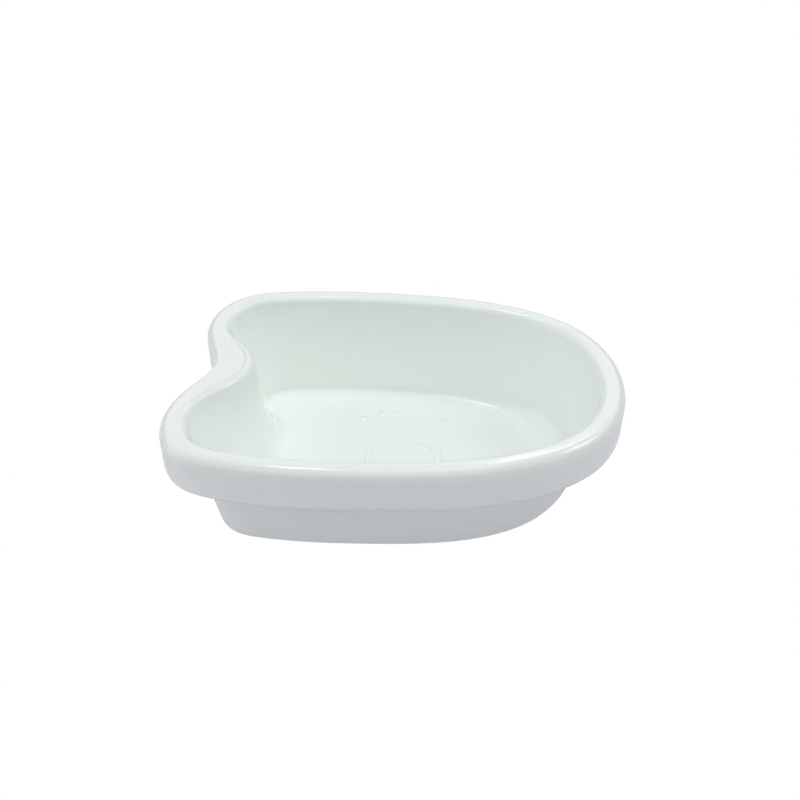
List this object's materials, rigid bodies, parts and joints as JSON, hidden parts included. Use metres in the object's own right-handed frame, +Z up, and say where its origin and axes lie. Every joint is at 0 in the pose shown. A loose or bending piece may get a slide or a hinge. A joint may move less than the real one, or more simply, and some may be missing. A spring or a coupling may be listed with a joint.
{
  "type": "foot bath basin",
  "caption": "One-piece moulded plastic basin for soaking both feet, with a rolled rim, a heel notch with a sunk shelf, finger grips under the skirt and rubber foot pads.",
  "frame": {"origin": "on the floor under the middle of the rim's outline, between the undersides of the pads", "axes": "+X towards the rounded toe end, away from the heel notch; +Y towards one long side; +Z up"},
  "size_m": [0.426, 0.338, 0.116],
  "materials": {
    "basin": "glossy, faintly translucent white polypropylene",
    "foot_pad": "matt light grey soft rubber"
  },
  "bodies": {
    "root": {"basin": "basin", "foot_pad_heel_left": "foot_pad", "foot_pad_heel_right": "foot_pad", "foot_pad_toe_left": "foot_pad", "foot_pad_toe_right": "foot_pad"}
  },
  "joints": []
}
